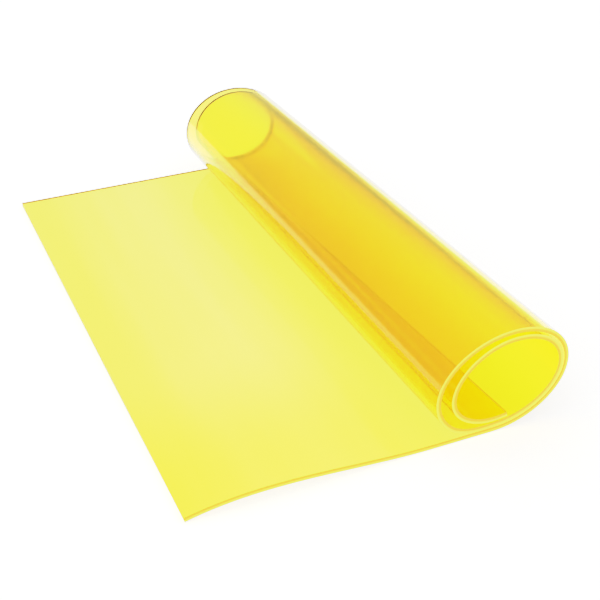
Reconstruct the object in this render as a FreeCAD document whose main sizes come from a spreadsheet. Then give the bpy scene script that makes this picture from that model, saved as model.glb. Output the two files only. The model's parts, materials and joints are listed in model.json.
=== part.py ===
import FreeCAD, Part
import math
import os
import Sketcher

# One cut length of tinted PVC welding curtain sheet, partly unrolled: a flat flap that ends in a
# straight cut edge, and a hollow oval coil of two turns.  The sheet has no hem, eyelet or core tube.
# Frame: +Z up, the floor is Z = 0, Y runs along the roll, the flap points to -X, and the origin is
# the middle of the footprint.  Millimetres.
#
# The film runs along the floor, under the coil, up its right side, over the top and down its left
# side (outer turn), and then round once more inside (inner turn).  Angles along the film are counted
# from the lowest point of the coil, so 90 is the right side, 180 the top and 270 the left side.

DRIVING_DIMENSIONS = [
    ("sheet_width", 300.0, "cut width of the sheet, which is the length of the roll"),
    ("film_thick", 2.0, "thickness of the sheet"),
    ("coil_axis_x", 50.3, "coil axis, to the right of the middle of the footprint"),
    ("free_edge_x", 80.2, "free cut edge, to the left of the middle of the footprint"),
    ("panel_pitch", 5.0, "length of flap between two bend lines"),
    ("bend_slit", 0.1, "clearance between two flap panels, centred on their bend line"),
    ("panel_count", 24, "flap panels"),
    ("near_wide", 29.6, "near end of the coil, long half-axis of its outer oval"),
    ("near_high", 21.9, "near end of the coil, short half-axis of its outer oval"),
    ("near_tilt", 12.8, "near end of the coil, its right side raised by this many degrees"),
    ("far_wide", 29.9, "far end of the coil, long half-axis of its outer oval"),
    ("far_high", 24.6, "far end of the coil, short half-axis of its outer oval"),
    ("far_tilt", -1.7, "far end of the coil, its right side raised by this many degrees"),
    ("inset_overlap", 2.4, "how far inside the oval the film lies where it passes over itself"),
    ("inset_right", 2.5, "how far inside the oval the inner turn lies at the right"),
    ("inset_top", 3.6, "how far inside the oval the inner turn lies at the top"),
    ("inset_left", 6.8, "how far inside the oval the inner turn lies at the left"),
    ("inset_end", 4.9, "how far inside the oval the inner end lies"),
]

# Where along the film each inset is reached, in degrees from the lowest point of the coil.
ANGLE_OVAL_ENDS = 315.0
ANGLE_OVERLAP = 365.0
ANGLE_RIGHT = 450.0
ANGLE_TOP = 540.0
ANGLE_LEFT = 630.0
ANGLE_FULL_TURNS = 720.0
ANGLE_INNER_END = 735.0
# The far end of the roll is wider, so the same length of film ends at a smaller angle there.
ANGLE_SKEW_STARTS = 660.0
ANGLE_FAR_INNER_END = 692.0
SPANS_PER_TURN = 12
SPAN_ANGLE = 360.0 / SPANS_PER_TURN

doc = FreeCAD.newDocument("CurtainSheet")
sheet = doc.addObject("Spreadsheet::Sheet", "Dimensions")
for row, (alias, value, meaning) in enumerate(DRIVING_DIMENSIONS, start=1):
    sheet.set("A%d" % row, alias)
    sheet.set("B%d" % row, str(value))
    sheet.set("C%d" % row, meaning)
    sheet.setAlias("B%d" % row, alias)
doc.recompute()

half_width = sheet.sheet_width / 2
thick = sheet.film_thick
INSETS = [
    (0.0, 0.0),
    (ANGLE_OVAL_ENDS, 0.0),
    (ANGLE_OVERLAP, sheet.inset_overlap),
    (ANGLE_RIGHT, sheet.inset_right),
    (ANGLE_TOP, sheet.inset_top),
    (ANGLE_LEFT, sheet.inset_left),
    (ANGLE_FULL_TURNS, sheet.inset_end),
    (ANGLE_INNER_END + SPAN_ANGLE, sheet.inset_end),
]


def rise_at(index):
    """Slope of the inset at a listed angle: the harmonic mean of the slopes beside it."""
    if index in (0, len(INSETS) - 1):
        return 0.0
    slopes = []
    for left, right in ((index - 1, index), (index, index + 1)):
        rise = INSETS[right][1] - INSETS[left][1]
        slopes.append(rise / (INSETS[right][0] - INSETS[left][0]))
    if slopes[0] * slopes[1] <= 0:
        return 0.0
    return 2 * slopes[0] * slopes[1] / (slopes[0] + slopes[1])


def inset(angle):
    """How far inside the outer oval the film lies at this angle, as a smooth monotone curve."""
    index = 0
    while index < len(INSETS) - 2 and angle > INSETS[index + 1][0]:
        index += 1
    (start, first), (end, last) = INSETS[index], INSETS[index + 1]
    length = end - start
    u = (angle - start) / length
    return (first * (1 + 2 * u) * (1 - u) ** 2
            + last * u * u * (3 - 2 * u)
            + rise_at(index) * length * u * (1 - u) ** 2
            - rise_at(index + 1) * length * u * u * (1 - u))


class CoilEnd:
    """The coil's cross-section at one end of the roll."""

    def __init__(self, y, wide, high, tilt):
        self.y = y
        self.wide = wide - thick / 2
        self.high = high - thick / 2
        self.tilt = math.radians(tilt)
        slope = math.tan(self.tilt) * self.wide / self.high
        self.lowest = -math.atan(slope)
        self.centre_z = thick / 2 + math.hypot(self.wide * math.sin(self.tilt), self.high * math.cos(self.tilt))

    def middle(self, angle):
        """A point of the film's middle surface, as (x, z)."""
        turn = self.lowest + math.radians(angle)
        across = (self.wide - inset(angle)) * math.sin(turn)
        up = -(self.high - inset(angle)) * math.cos(turn)
        x = across * math.cos(self.tilt) - up * math.sin(self.tilt)
        z = across * math.sin(self.tilt) + up * math.cos(self.tilt)
        return sheet.coil_axis_x + x, self.centre_z + z

    def skin(self, angle, side):
        """A point of the film's outer (side 1) or inner (side -1) surface."""
        step = 0.01
        x0, z0 = self.middle(angle - step)
        x1, z1 = self.middle(angle + step)
        run = math.hypot(x1 - x0, z1 - z0)
        x, z = self.middle(angle)
        x += side * thick / 2 * (z1 - z0) / run
        z -= side * thick / 2 * (x1 - x0) / run
        return FreeCAD.Vector(x, self.y, z)


near_end = CoilEnd(-half_width, sheet.near_wide, sheet.near_high, sheet.near_tilt)
far_end = CoilEnd(half_width, sheet.far_wide, sheet.far_high, sheet.far_tilt)


def arc(end, start, stop, side):
    """The arc of one skin of the film between two angles."""
    middle = (start + stop) / 2
    return Part.Arc(end.skin(start, side), end.skin(middle, side), end.skin(stop, side)).toShape()


def ribbon(end, start, stop):
    """Closed outline of the film's cut end between two angles."""
    outer = arc(end, start, stop, 1)
    inner = arc(end, stop, start, -1)
    across_stop = Part.LineSegment(end.skin(stop, 1), end.skin(stop, -1)).toShape()
    across_start = Part.LineSegment(end.skin(start, -1), end.skin(start, 1)).toShape()
    return Part.Wire([outer, across_stop, inner, across_start])


def add_loft(name, near_outline, far_outline):
    """A straight-ruled solid from the near outline to the far one."""
    feature = doc.addObject("Part::Feature", name)
    feature.Label = name
    feature.Shape = Part.makeLoft([near_outline, far_outline], True, True)
    feature.Placement = FreeCAD.Placement()
    return feature


def far_angle(near_angle):
    """The angle at the far end of the straight line across the sheet that starts at near_angle."""
    beyond = max(0.0, near_angle - ANGLE_SKEW_STARTS)
    share = (ANGLE_FAR_INNER_END - ANGLE_SKEW_STARTS) / (ANGLE_INNER_END - ANGLE_SKEW_STARTS)
    return min(near_angle, ANGLE_SKEW_STARTS) + beyond * share


def add_coil_span(name, start, stop):
    return add_loft(name, ribbon(near_end, start, stop), ribbon(far_end, far_angle(start), far_angle(stop)))


def add_floor_lap():
    """The flat film between the flap and the coil's lowest line, under the outer turn."""
    first_bend_x = sheet.panel_count * sheet.panel_pitch - sheet.free_edge_x
    outlines = []
    for end in (near_end, far_end):
        right_x = end.middle(0)[0]
        corners = [(first_bend_x, 0), (right_x, 0), (right_x, thick), (first_bend_x, thick), (first_bend_x, 0)]
        outlines.append(Part.makePolygon([FreeCAD.Vector(x, end.y, z) for x, z in corners]))
    return add_loft("floor_lap", outlines[0], outlines[1])


def add_flap_panel(number):
    """A flat panel of the flap, counted from the coil.  The last one ends at the free cut edge."""
    is_last = number == int(sheet.panel_count)
    name = "flap_free_edge" if is_last else "flap_panel_%02d" % number
    body = doc.addObject("PartDesign::Body", name)
    body.Label = name
    sketch = body.newObject("Sketcher::SketchObject", name + "_outline")
    plane = [o for o in body.Origin.OriginFeatures if o.Role == "XY_Plane"][0]
    sketch.AttachmentSupport = [(plane, "")]
    sketch.MapMode = "FlatFace"
    corners = [(0, 0), (1, 0), (1, 1), (0, 1)]
    for i, corner in enumerate(corners):
        following = corners[(i + 1) % 4]
        line = Part.LineSegment(FreeCAD.Vector(*corner, 0), FreeCAD.Vector(*following, 0))
        sketch.addGeometry(line)
    for i in range(4):
        sketch.addConstraint(Sketcher.Constraint("Coincident", i, 2, (i + 1) % 4, 1))
    for i in (0, 2):
        sketch.addConstraint(Sketcher.Constraint("Horizontal", i))
    for i in (1, 3):
        sketch.addConstraint(Sketcher.Constraint("Vertical", i))
    sketch.addConstraint(Sketcher.Constraint("Coincident", 0, 1, -1, 1))
    length = sketch.addConstraint(Sketcher.Constraint("DistanceX", 0, 1, 0, 2, 1))
    width = sketch.addConstraint(Sketcher.Constraint("DistanceY", 1, 1, 1, 2, 1))
    slit = "Dimensions.bend_slit / 2" if is_last else "Dimensions.bend_slit"
    sketch.setExpression("Constraints[%d]" % length, "Dimensions.panel_pitch - " + slit)
    sketch.setExpression("Constraints[%d]" % width, "Dimensions.sheet_width")
    pad = body.newObject("PartDesign::Pad", name + "_pad")
    pad.Profile = sketch
    pad.setExpression("Length", "Dimensions.film_thick")
    start = "(Dimensions.panel_count - %d) * Dimensions.panel_pitch - Dimensions.free_edge_x" % number
    if not is_last:
        start += " + Dimensions.bend_slit / 2"
    body.setExpression("Placement.Base.x", start)
    body.setExpression("Placement.Base.y", "-Dimensions.sheet_width / 2")
    return body


pieces = [add_flap_panel(number) for number in range(1, int(sheet.panel_count) + 1)]
pieces.append(add_floor_lap())
for turn, first_angle in (("outer", 0.0), ("inner", 360.0)):
    for span in range(SPANS_PER_TURN):
        start_angle = first_angle + span * SPAN_ANGLE
        name = "%s_turn_%02d" % (turn, span + 1)
        pieces.append(add_coil_span(name, start_angle, start_angle + SPAN_ANGLE))
pieces.append(add_coil_span("inner_end", ANGLE_FULL_TURNS, ANGLE_INNER_END))

doc.recompute()
for item in doc.Objects:
    if "Invalid" in item.State or "Error" in item.State:
        raise RuntimeError("%s did not build: %s" % (item.Label, item.State))
for piece in pieces:
    if piece.Shape.isNull() or not piece.Shape.isValid() or len(piece.Shape.Solids) != 1:
        raise RuntimeError("%s is not one valid solid" % piece.Label)

os.makedirs("parts", exist_ok=True)
for piece in pieces:
    piece.Shape.exportStep("parts/%s.step" % piece.Label)

whole = Part.makeCompound([piece.Shape for piece in pieces])
box = whole.BoundBox
print("%d pieces, %.2f x %.2f x %.2f mm" % (len(pieces), box.XLength, box.YLength, box.ZLength))
print("centre of the footprint %.2f, %.2f, lowest %.3f" % (box.Center.x, box.Center.y, box.ZMin))
print("volume %.1f mm3" % sum(piece.Shape.Volume for piece in pieces))
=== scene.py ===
import json
import math

import bpy
import numpy as np
from mathutils import Matrix, Vector


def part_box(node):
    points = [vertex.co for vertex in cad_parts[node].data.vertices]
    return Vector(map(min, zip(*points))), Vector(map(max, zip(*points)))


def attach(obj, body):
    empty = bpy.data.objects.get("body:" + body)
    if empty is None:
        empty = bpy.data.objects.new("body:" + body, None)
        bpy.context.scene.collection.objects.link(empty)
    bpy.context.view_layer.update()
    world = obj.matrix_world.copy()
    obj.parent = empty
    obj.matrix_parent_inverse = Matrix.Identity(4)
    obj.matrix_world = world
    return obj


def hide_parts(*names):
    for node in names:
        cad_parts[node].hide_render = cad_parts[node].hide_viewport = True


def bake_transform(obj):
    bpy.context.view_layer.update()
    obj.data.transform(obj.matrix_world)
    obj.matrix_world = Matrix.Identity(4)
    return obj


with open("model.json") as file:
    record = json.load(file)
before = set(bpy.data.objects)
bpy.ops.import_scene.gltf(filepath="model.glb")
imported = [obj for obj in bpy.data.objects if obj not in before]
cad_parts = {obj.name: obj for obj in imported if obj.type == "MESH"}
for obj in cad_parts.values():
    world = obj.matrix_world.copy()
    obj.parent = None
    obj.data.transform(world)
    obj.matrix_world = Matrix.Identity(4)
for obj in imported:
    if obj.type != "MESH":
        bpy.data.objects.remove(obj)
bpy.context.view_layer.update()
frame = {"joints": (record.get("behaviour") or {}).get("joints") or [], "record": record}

MM = 0.001

# The film and its bend lines, measured on the CAD nodes.
floor_lap_low, floor_lap_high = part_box("floor_lap")
free_edge_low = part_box("flap_free_edge")[0]
WIDTH = floor_lap_high[1] - floor_lap_low[1]
THICK = floor_lap_high[2] - floor_lap_low[2]
FREE_EDGE_X = free_edge_low[0]
BEND_XS = [joint["pos_m"][0] for joint in frame["joints"]]
PITCH = BEND_XS[0] - BEND_XS[1]
ROOT_X = BEND_XS[0] + PITCH / 2
NEAR_Y = -WIDTH / 2

# The coil's outer oval at its near and far ends, the same as the CAD coil's.
COIL_AXIS_X = 50.3 * MM
NEAR = {"wide": 29.6 * MM, "high": 21.9 * MM, "tilt": math.radians(12.8)}
FAR = {"wide": 29.9 * MM, "high": 24.6 * MM, "tilt": math.radians(-1.7)}

# How far inside the outer oval the film lies, at each angle in degrees from the lowest point of the coil.
INSETS = [
    (0.0, 0.0),
    (315.0, 0.0),
    (365.0, 2.4 * MM),
    (450.0, 2.5 * MM),
    (540.0, 3.6 * MM),
    (630.0, 6.8 * MM),
    (720.0, 4.9 * MM),
    (765.0, 4.9 * MM),
]

# The inner end lies earlier at the far end, which is the wider one: the film is skewed from this angle on.
INNER_END_ANGLE = 735.0
SKEW_STARTS_ANGLE = 660.0
FAR_INNER_END_ANGLE = 692.0

# The flap's near edge arches off the floor between its corner and the coil.
ARCH_HIGH = 3.4 * MM
ARCH_LONG = 100 * MM
ARCH_DEEP = 0.35 * WIDTH

# How finely the film is divided: COIL_STEP is in degrees.
ROWS = 41
COIL_STEP = 3.0
LAP_STEPS = 6
BEND_STATIONS = 9
FREE_EDGE_STATIONS = 5
SHARP_ANGLE = math.radians(40)

YS = [NEAR_Y + WIDTH * row / (ROWS - 1) for row in range(ROWS)]

# The kinds of face on a span of film, in the order of its material slots.
FILM_FACE, CUT_FACE, JOIN_FACE, INNER_FACE = 0, 1, 2, 3

# The share of red, green and blue light that the film's surface passes, and its optical finish.
FILM_TINT = (0.993, 0.887, 0.145, 1.0)
STREAK_DEPTH = (0.995, 0.975, 0.85)
PVC_IOR = 1.35
CLARITY = 1.0
FILM_HAZE = (0.04, 0.09)
FLOW_LINE_STRENGTH = 0.12
FLOW_LINE_DEPTH = 0.02 * MM

# Painted light and shade: the flap's colour is painted paler away from the coil and from its near edge. This
# leaves a painted shade of deeper yellow beside the coil and along the near edge.
FLAP_PAINTED_PALER = (1.0, 1.008, 1.6, 1.0)
PAINTED_PALE_FROM, PAINTED_PALE_FULL = -10 * MM, -60 * MM
PAINTED_PALE_MARGIN_FROM, PAINTED_PALE_MARGIN_FULL = 15 * MM, 100 * MM

# Painted shade: the strip along the free edge is painted a deeper yellow than the rest, deepest at the edge.
EDGE_SHADE_WIDE = 45 * MM
EDGE_SHADE_DEPTH = (0.98, 0.93, 0.66, 1.0)

# The cut edges: deep yellow, with a painted highlight along each of their two corners for the glint of the
# burr there.
CUT_PAINTED_GLINT = (1.0, 0.88, 0.11, 1.0)
CUT_DEEP = (0.98, 0.62, 0.03, 1.0)
CUT_COLOURS_AND_GLINTS = (
    (0.0, CUT_PAINTED_GLINT), (0.10, CUT_PAINTED_GLINT), (0.20, CUT_DEEP),
    (0.80, CUT_DEEP), (0.90, CUT_PAINTED_GLINT), (1.0, CUT_PAINTED_GLINT),
)
DRAG_MARK, NO_MARK = (0.94, 0.92, 0.85, 1.0), (1.0, 1.0, 1.0, 1.0)
DRAG_MARKS_SHARE = 0.5
CUT_ROUGHNESS = (0.35, 0.55)
# Painted glow: an emission on the inner end's cut, standing in for light led along the film to it.
CUT_PAINTED_GLOW = (1.0, 0.78, 0.04, 1.0)
INNER_END_PAINTED_GLOW = 0.6

# Most of a noise's values lie between these two.
NOISE_LOW, NOISE_HIGH = 0.35, 0.65

# The scale of each noise along and across the film, for coordinates in metres.
STREAKS = (38.0, 2.5, 1.0)
HAZE_PATCHES = (60.0, 45.0, 1.0)
FLOW_LINES = (6.0, 220.0, 1.0)
BLADE_DRAG = (900.0, 900.0, 1.0)
IN_METRES = (1.0, 1.0, 1.0)

# The camera stands in front of the roll's near end and to its left, and looks down at the roll.
# Its place is in sheet widths: left of the coil's axis, in front of the near edge, and above the floor.
CAMERA_LEFT, CAMERA_AHEAD, CAMERA_UP = 0.6847, 1.0013, 0.8736
CAMERA_PLACE = Vector((COIL_AXIS_X - CAMERA_LEFT * WIDTH, NEAR_Y - CAMERA_AHEAD * WIDTH, CAMERA_UP * WIDTH))
CAMERA_YAW, CAMERA_PITCH, CAMERA_ROLL = math.radians(22.135), math.radians(29.444), -0.0339
CAMERA_LENS, CAMERA_SENSOR, CAMERA_CLIP = 66.85, 36.0, 0.01

# The floor, just below the film, and the strength of the light from it and from the dome above.
FLOOR_HALF_SIDE = 6.0
FLOOR_DROP = 0.2 * MM
FLOOR_WHITE = (0.92, 0.92, 0.92, 1.0)
FLOOR_ROUGHNESS = 0.9
FLOOR_GLOW = 1.0
DOME = (0.6, 1.0)
MIRRORED_DOME = (0.62, 0.62)

# Scene light, as a share of what shows as white, and how bright it shows: a camera's soft shoulder.
TONE_CURVE = ((0.0, 0.0), (0.7, 0.69), (0.95, 0.86), (1.25, 0.89), (1.45, 0.94), (1.6, 1.0))
BRIGHTEST = TONE_CURVE[-1][0]


# The shape of the film.

def slope_of_inset(index):
    """Slope of the inset at a listed angle: the harmonic mean of the slopes beside it."""
    if index in (0, len(INSETS) - 1):
        return 0.0
    slopes = []
    for left, right in ((index - 1, index), (index, index + 1)):
        slopes.append((INSETS[right][1] - INSETS[left][1]) / (INSETS[right][0] - INSETS[left][0]))
    if slopes[0] * slopes[1] <= 0:
        return 0.0
    return 2 * slopes[0] * slopes[1] / (slopes[0] + slopes[1])


def inset(angle):
    """How far inside the outer oval the film lies at this angle, as a smooth monotone curve."""
    index = 0
    while index < len(INSETS) - 2 and angle > INSETS[index + 1][0]:
        index += 1
    (start, first), (end, last) = INSETS[index], INSETS[index + 1]
    length = end - start
    u = (angle - start) / length
    return (first * (1 + 2 * u) * (1 - u) ** 2
            + last * u * u * (3 - 2 * u)
            + slope_of_inset(index) * length * u * (1 - u) ** 2
            - slope_of_inset(index + 1) * length * u * u * (1 - u))


def coil_middle(end, angle):
    """A point of the film's middle surface in the coil's cross-section, as (x, z)."""
    wide, high, tilt = end["wide"] - THICK / 2, end["high"] - THICK / 2, end["tilt"]
    lowest = -math.atan(math.tan(tilt) * wide / high)
    centre_z = THICK / 2 + math.hypot(wide * math.sin(tilt), high * math.cos(tilt))
    turn = lowest + math.radians(angle)
    across = (wide - inset(angle)) * math.sin(turn)
    up = -(high - inset(angle)) * math.cos(turn)
    x = COIL_AXIS_X + across * math.cos(tilt) - up * math.sin(tilt)
    z = centre_z + across * math.sin(tilt) + up * math.cos(tilt)
    return np.array([x, z])


def far_angle(angle):
    """The angle at the far end of the line across the film that is at this angle at the near end."""
    share = (FAR_INNER_END_ANGLE - SKEW_STARTS_ANGLE) / (INNER_END_ANGLE - SKEW_STARTS_ANGLE)
    return min(angle, SKEW_STARTS_ANGLE) + max(0.0, angle - SKEW_STARTS_ANGLE) * share


def smooth(u):
    u = min(max(u, 0.0), 1.0)
    return u * u * (3 - 2 * u)


def lift(x, y):
    """How far the flap stands off the floor.  27/4 brings the arch's highest point to ARCH_HIGH."""
    u = min(1.0, (x - FREE_EDGE_X) / ARCH_LONG)
    near = 1 - smooth((y - NEAR_Y) / ARCH_DEEP)
    return ARCH_HIGH * 27 / 4 * u * (1 - u) ** 2 * near


def flap_middle(x, y):
    return np.array([x, THICK / 2 + lift(x, y)])


def flap_lines(start_x, stop_x, count):
    """Stations of a span of the flap."""
    xs = [start_x + (stop_x - start_x) * i / (count - 1) for i in range(count)]
    return [[flap_middle(x, y) for y in YS] for x in xs]


def coil_lines():
    """Stations of the rolled part: along the floor lap, then round both turns to the inner end."""
    lines = []
    lowest = [coil_middle(end, 0.0)[0] for end in (NEAR, FAR)]
    for i in range(LAP_STEPS):
        line = []
        for row in range(ROWS):
            share = row / (ROWS - 1)
            stop = lowest[0] * (1 - share) + lowest[1] * share
            line.append(flap_middle(ROOT_X + (stop - ROOT_X) * i / LAP_STEPS, YS[row]))
        lines.append(line)
    for angle in np.arange(0.0, INNER_END_ANGLE + 0.01, COIL_STEP):
        near, far = coil_middle(NEAR, angle), coil_middle(FAR, far_angle(angle))
        lines.append([near + (far - near) * row / (ROWS - 1) for row in range(ROWS)])
    return lines


def length_along(middle):
    """Length of film up to each station, on its near edge."""
    steps = np.linalg.norm(np.diff(middle[:, 0], axis=0), axis=1)
    return np.concatenate([[0], np.cumsum(steps)])


def outward_of(middle):
    """The direction from the middle surface to the film's outer face, at each point of each station."""
    run = np.empty_like(middle)
    run[1:-1] = middle[2:] - middle[:-2]
    run[0] = middle[1] - middle[0]
    run[-1] = middle[-1] - middle[-2]
    run /= np.linalg.norm(run, axis=2, keepdims=True)
    return np.stack([run[:, :, 1], -run[:, :, 0]], axis=2)


def slab_faces(count, start_kind, end_kind):
    """The faces of a closed slab of so many stations, and the kind of each."""
    faces, kinds = [], []
    last, end = ROWS - 1, count - 1

    def at(side, i, row):
        return (side * count + i) * ROWS + row

    for i in range(end):
        for row in range(last):
            faces.append((at(0, i, row), at(0, i, row + 1), at(0, i + 1, row + 1), at(0, i + 1, row)))
            faces.append((at(1, i, row), at(1, i + 1, row), at(1, i + 1, row + 1), at(1, i, row + 1)))
            kinds += [FILM_FACE, FILM_FACE]
        faces.append((at(0, i, 0), at(0, i + 1, 0), at(1, i + 1, 0), at(1, i, 0)))
        faces.append((at(0, i, last), at(1, i, last), at(1, i + 1, last), at(0, i + 1, last)))
        kinds += [CUT_FACE, CUT_FACE]
    for row in range(last):
        faces.append((at(0, 0, row), at(1, 0, row), at(1, 0, row + 1), at(0, 0, row + 1)))
        faces.append((at(0, end, row), at(0, end, row + 1), at(1, end, row + 1), at(1, end, row)))
        kinds += [start_kind, end_kind]
    return faces, kinds


def film_mesh(name, lines, first_length, start_kind=JOIN_FACE, end_kind=JOIN_FACE):
    """A closed slab of film.  lines[i][row] is the middle surface's point (x, z) at one station.
    Its faces are film, cut edge, the unseen join to the next span, or the inner end's cut."""
    middle = np.array(lines)
    count = len(lines)
    outward = outward_of(middle)
    along = first_length + length_along(middle)
    vertices, uvs = [], []
    for side in (1, -1):
        skin = middle + side * outward * THICK / 2
        for i in range(count):
            for row, y in enumerate(YS):
                vertices.append((skin[i, row, 0], y, skin[i, row, 1]))
                uvs.append((along[i], y))
    faces, kinds = slab_faces(count, start_kind, end_kind)
    mesh = bpy.data.meshes.new(name)
    mesh.from_pydata(vertices, [], faces)
    film_layer = mesh.uv_layers.new(name="film")
    thickness_layer = mesh.uv_layers.new(name="thickness")
    for loop in mesh.loops:
        film_layer.data[loop.index].uv = uvs[loop.vertex_index]
        thickness_layer.data[loop.index].uv = (loop.vertex_index // (count * ROWS), 0.0)
    for polygon, kind in zip(mesh.polygons, kinds):
        polygon.material_index = kind
    mesh.update()
    piece = bpy.data.objects.new(name, mesh)
    bpy.context.scene.collection.objects.link(piece)
    mesh.shade_smooth()
    mesh.set_sharp_from_angle(angle=SHARP_ANGLE)
    return piece


# Materials.

def new_material(name):
    material = bpy.data.materials.new(name)
    material.use_nodes = True
    nodes = material.node_tree.nodes
    return material, nodes, material.node_tree.links, nodes["Principled BSDF"]


def film_uv(nodes, links, scale):
    """Coordinates along and across the film, so that the pattern bends with it."""
    uv = nodes.new("ShaderNodeUVMap")
    uv.uv_map = "film"
    mapping = nodes.new("ShaderNodeMapping")
    mapping.inputs["Scale"].default_value = scale
    links.new(uv.outputs["UV"], mapping.inputs["Vector"])
    return mapping.outputs["Vector"]


def noise(nodes, links, scale, detail):
    texture = nodes.new("ShaderNodeTexNoise")
    texture.inputs["Scale"].default_value = 1.0
    texture.inputs["Detail"].default_value = detail
    texture.inputs["Roughness"].default_value = 0.5
    links.new(film_uv(nodes, links, scale), texture.inputs["Vector"])
    return texture.outputs["Fac"]


def colour_ramp(nodes, links, value, stops):
    node = nodes.new("ShaderNodeValToRGB")
    elements = node.color_ramp.elements
    while len(elements) < len(stops):
        elements.new(1.0)
    for element, (place, colour) in zip(elements, stops):
        element.position, element.color = place, colour
    links.new(value, node.inputs["Fac"])
    return node.outputs["Color"]


def noise_colours(nodes, links, value, first, last):
    """From one colour to the other, as a noise goes from low to high."""
    return colour_ramp(nodes, links, value, ((NOISE_LOW, first), (NOISE_HIGH, last)))


def spread(nodes, links, value, low, high):
    """A value from 0 to 1, spread from low to high."""
    node = nodes.new("ShaderNodeMapRange")
    node.inputs["To Min"].default_value = low
    node.inputs["To Max"].default_value = high
    links.new(value, node.inputs["Value"])
    return node.outputs["Result"]


def rise(nodes, links, value, low, high):
    """0 at low and 1 at high."""
    node = nodes.new("ShaderNodeMapRange")
    node.interpolation_type = "SMOOTHSTEP"
    node.inputs["From Min"].default_value = low
    node.inputs["From Max"].default_value = high
    links.new(value, node.inputs["Value"])
    return node.outputs["Result"]


def multiply(nodes, links, colour):
    """A node that multiplies a colour.  Its factor and its second colour are set by the caller."""
    node = nodes.new("ShaderNodeMix")
    node.data_type = "RGBA"
    node.blend_type = "MULTIPLY"
    links.new(colour, node.inputs["A"])
    return node


def film_material():
    """Glossy, slightly hazy calendered PVC, with faint flow lines along the direction it was extruded in."""
    material, nodes, links, shader = new_material("pvc_film")
    place = nodes.new("ShaderNodeSeparateXYZ")
    links.new(film_uv(nodes, links, IN_METRES), place.inputs["Vector"])
    along, across = place.outputs["X"], place.outputs["Y"]

    streaked = tuple(tint * depth for tint, depth in zip(FILM_TINT[:3], STREAK_DEPTH)) + (1.0,)
    streaks = noise(nodes, links, STREAKS, detail=2.0)
    plain = noise_colours(nodes, links, streaks, streaked, FILM_TINT)

    # Painted light and shade: the flap is painted paler away from the coil and from its near edge. It is
    # left deeper yellow, as shade, beside the coil and along that edge.
    away_from_shade = nodes.new("ShaderNodeMath")
    away_from_shade.operation = "MULTIPLY"
    links.new(rise(nodes, links, along, PAINTED_PALE_FROM, PAINTED_PALE_FULL), away_from_shade.inputs[0])
    links.new(rise(nodes, links, across, NEAR_Y + PAINTED_PALE_MARGIN_FROM, NEAR_Y + PAINTED_PALE_MARGIN_FULL),
              away_from_shade.inputs[1])
    painted_paler = multiply(nodes, links, plain)
    painted_paler.inputs["B"].default_value = FLAP_PAINTED_PALER
    links.new(away_from_shade.outputs["Value"], painted_paler.inputs["Factor"])

    # Painted shade along the free edge, deepest at the edge itself.
    free_edge_at = FREE_EDGE_X - ROOT_X
    free_edge_shade = multiply(nodes, links, painted_paler.outputs["Result"])
    free_edge_shade.inputs["B"].default_value = EDGE_SHADE_DEPTH
    links.new(rise(nodes, links, along, free_edge_at + EDGE_SHADE_WIDE, free_edge_at), free_edge_shade.inputs["Factor"])
    links.new(free_edge_shade.outputs["Result"], shader.inputs["Base Color"])

    shader.inputs["IOR"].default_value = PVC_IOR
    shader.inputs["Transmission Weight"].default_value = CLARITY
    haze = noise(nodes, links, HAZE_PATCHES, detail=5.0)
    links.new(spread(nodes, links, haze, *FILM_HAZE), shader.inputs["Roughness"])
    bump = nodes.new("ShaderNodeBump")
    bump.inputs["Strength"].default_value = FLOW_LINE_STRENGTH
    bump.inputs["Distance"].default_value = FLOW_LINE_DEPTH
    links.new(noise(nodes, links, FLOW_LINES, detail=2.0), bump.inputs["Height"])
    links.new(bump.outputs["Normal"], shader.inputs["Normal"])
    return material


def cut_edge_material(name, painted_glow=0.0):
    """The knife-cut edge: matt from the blade's drag marks, with a painted highlight along both of its
    corners for the glint of the burr.
    The second argument is a painted glow: an emission that stands in for the light the film leads to this
    edge between its two faces."""
    material, nodes, links, shader = new_material(name)
    thickness = nodes.new("ShaderNodeUVMap")
    thickness.uv_map = "thickness"
    # Painted highlight: pale bands along both corners of the cut face.
    glint_painted = colour_ramp(nodes, links, thickness.outputs["UV"], CUT_COLOURS_AND_GLINTS)
    drag = noise(nodes, links, BLADE_DRAG, detail=2.0)
    marked = multiply(nodes, links, glint_painted)
    marked.inputs["Factor"].default_value = DRAG_MARKS_SHARE
    links.new(noise_colours(nodes, links, drag, DRAG_MARK, NO_MARK), marked.inputs["B"])
    links.new(marked.outputs["Result"], shader.inputs["Base Color"])
    links.new(spread(nodes, links, drag, *CUT_ROUGHNESS), shader.inputs["Roughness"])
    shader.inputs["IOR"].default_value = PVC_IOR
    # Painted glow: the cut face emits light, though it is no lamp.
    shader.inputs["Emission Color"].default_value = CUT_PAINTED_GLOW
    shader.inputs["Emission Strength"].default_value = painted_glow
    return material


def join_material():
    """The unseen faces where one span of the film runs on into the next."""
    material = bpy.data.materials.new("span_join")
    material.use_nodes = True
    nodes = material.node_tree.nodes
    nodes.clear()
    clear = nodes.new("ShaderNodeBsdfTransparent")
    output = nodes.new("ShaderNodeOutputMaterial")
    material.node_tree.links.new(clear.outputs["BSDF"], output.inputs["Surface"])
    return material


def floor_material():
    material, _, _, shader = new_material("studio_floor")
    shader.inputs["Base Color"].default_value = FLOOR_WHITE
    shader.inputs["Roughness"].default_value = FLOOR_ROUGHNESS
    shader.inputs["Specular IOR Level"].default_value = 0.0
    shader.inputs["Emission Color"].default_value = (1.0, 1.0, 1.0, 1.0)
    shader.inputs["Emission Strength"].default_value = FLOOR_GLOW
    return material


# One material for each kind of face, in the order of the kinds.
FACE_MATERIALS = (
    film_material(),
    cut_edge_material("pvc_cut_edge"),
    join_material(),
    cut_edge_material("pvc_inner_end", INNER_END_PAINTED_GLOW),
)


def finish_piece(piece):
    for material in FACE_MATERIALS:
        piece.data.materials.append(material)
    return piece


# The studio.

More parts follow.
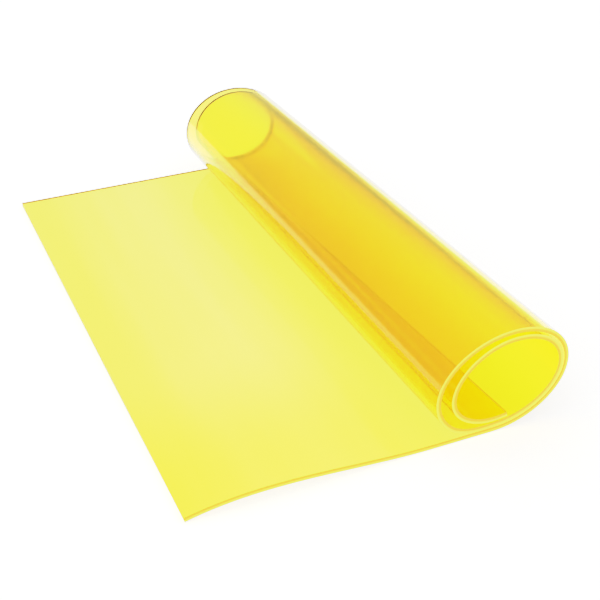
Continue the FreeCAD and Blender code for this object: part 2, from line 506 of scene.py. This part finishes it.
def add_camera():
    data = bpy.data.cameras.new("camera")
    data.lens = CAMERA_LENS
    data.sensor_width = CAMERA_SENSOR
    data.clip_start = CAMERA_CLIP
    camera = bpy.data.objects.new("camera", data)
    bpy.context.scene.collection.objects.link(camera)
    forward = Vector((
        math.sin(CAMERA_YAW) * math.cos(CAMERA_PITCH),
        math.cos(CAMERA_YAW) * math.cos(CAMERA_PITCH),
        -math.sin(CAMERA_PITCH)))
    level = forward.cross(Vector((0, 0, 1))).normalized()
    upright = level.cross(forward)
    right = math.cos(CAMERA_ROLL) * level + math.sin(CAMERA_ROLL) * upright
    up = -math.sin(CAMERA_ROLL) * level + math.cos(CAMERA_ROLL) * upright
    turn = Matrix((right, up, -forward)).transposed()
    camera.matrix_world = Matrix.Translation(CAMERA_PLACE) @ turn.to_4x4()
    bpy.context.scene.camera = camera


def add_floor():
    side, z = FLOOR_HALF_SIDE, -FLOOR_DROP
    mesh = bpy.data.meshes.new("floor")
    corners = [(-side, -side, z), (side, -side, z), (side, side, z), (-side, side, z)]
    mesh.from_pydata(corners, [], [(0, 1, 2, 3)])
    floor = bpy.data.objects.new("floor", mesh)
    bpy.context.scene.collection.objects.link(floor)
    mesh.materials.append(floor_material())


def add_sky():
    """A studio dome, brightest overhead.  The film mirrors an even and dimmer one instead, and the camera
    sees a plain pale backdrop."""
    world = bpy.data.worlds.new("studio")
    bpy.context.scene.world = world
    world.use_nodes = True
    nodes, links = world.node_tree.nodes, world.node_tree.links
    nodes.clear()
    place = nodes.new("ShaderNodeTexCoord")
    split = nodes.new("ShaderNodeSeparateXYZ")
    links.new(place.outputs["Generated"], split.inputs["Vector"])

    def dome(low, high):
        light = nodes.new("ShaderNodeBackground")
        links.new(spread(nodes, links, split.outputs["Z"], low, high), light.inputs["Strength"])
        return light.outputs["Background"]

    def either(switch, off, on):
        node = nodes.new("ShaderNodeMixShader")
        links.new(switch, node.inputs["Fac"])
        links.new(off, node.inputs[1])
        links.new(on, node.inputs[2])
        return node.outputs["Shader"]

    # A ray through rough glass counts as glossy too, so those are taken away again.
    path = nodes.new("ShaderNodeLightPath")
    mirrored = nodes.new("ShaderNodeMath")
    mirrored.operation = "SUBTRACT"
    mirrored.use_clamp = True
    links.new(path.outputs["Is Glossy Ray"], mirrored.inputs[0])
    links.new(path.outputs["Is Transmission Ray"], mirrored.inputs[1])
    backdrop = nodes.new("ShaderNodeBackground")
    backdrop.inputs["Strength"].default_value = BRIGHTEST
    light = either(mirrored.outputs["Value"], dome(*DOME), dome(*MIRRORED_DOME))
    seen = either(path.outputs["Is Camera Ray"], light, backdrop.outputs["Background"])
    output = nodes.new("ShaderNodeOutputWorld")
    links.new(seen, output.inputs["Surface"])


def set_light_limits():
    """Light crosses up to four turns of film on the way in and four on the way out."""
    cycles = bpy.context.scene.cycles
    cycles.max_bounces = 18
    cycles.transmission_bounces = 18
    cycles.diffuse_bounces = 2
    cycles.glossy_bounces = 6
    cycles.transparent_max_bounces = 32


def set_tone():
    view = bpy.context.scene.view_settings
    view.view_transform = "Standard"
    view.use_curve_mapping = True
    mapping = view.curve_mapping
    mapping.white_level = (BRIGHTEST, BRIGHTEST, BRIGHTEST)
    combined = mapping.curves[3]
    while len(combined.points) < len(TONE_CURVE):
        combined.points.new(1.0, 1.0)
    for point, (light, shown) in zip(combined.points, TONE_CURVE):
        point.location = (light / BRIGHTEST, shown)
        point.handle_type = "AUTO_CLAMPED"
    mapping.update()


add_camera()
add_floor()
add_sky()
set_light_limits()
set_tone()

nodes_of = frame["record"]["behaviour"]["bodies"]

# The rolled part, from the first bend line to the inner end.
roll = finish_piece(film_mesh("sheet_roll", coil_lines(), 0.0, end_kind=INNER_FACE))
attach(roll, "roll")
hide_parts(*nodes_of["roll"])

# The flap: one span across each bend line, and the last one along the free edge.
for number, joint in enumerate(frame["joints"]):
    start, stop = BEND_XS[number] + PITCH / 2, BEND_XS[number] - PITCH / 2
    name = "sheet_bend_%02d" % (number + 1)
    bend = finish_piece(film_mesh(name, flap_lines(stop, start, BEND_STATIONS), -(number + 1) * PITCH))
    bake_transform(bend)
    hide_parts(*nodes_of[joint["child"]])

last_x = BEND_XS[-1] - PITCH / 2
free_edge = finish_piece(film_mesh(
    "sheet_free_edge", flap_lines(FREE_EDGE_X, last_x, FREE_EDGE_STATIONS),
    FREE_EDGE_X - ROOT_X, start_kind=CUT_FACE))
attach(free_edge, frame["joints"][-1]["child"])
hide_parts(*nodes_of[frame["joints"][-1]["child"]])
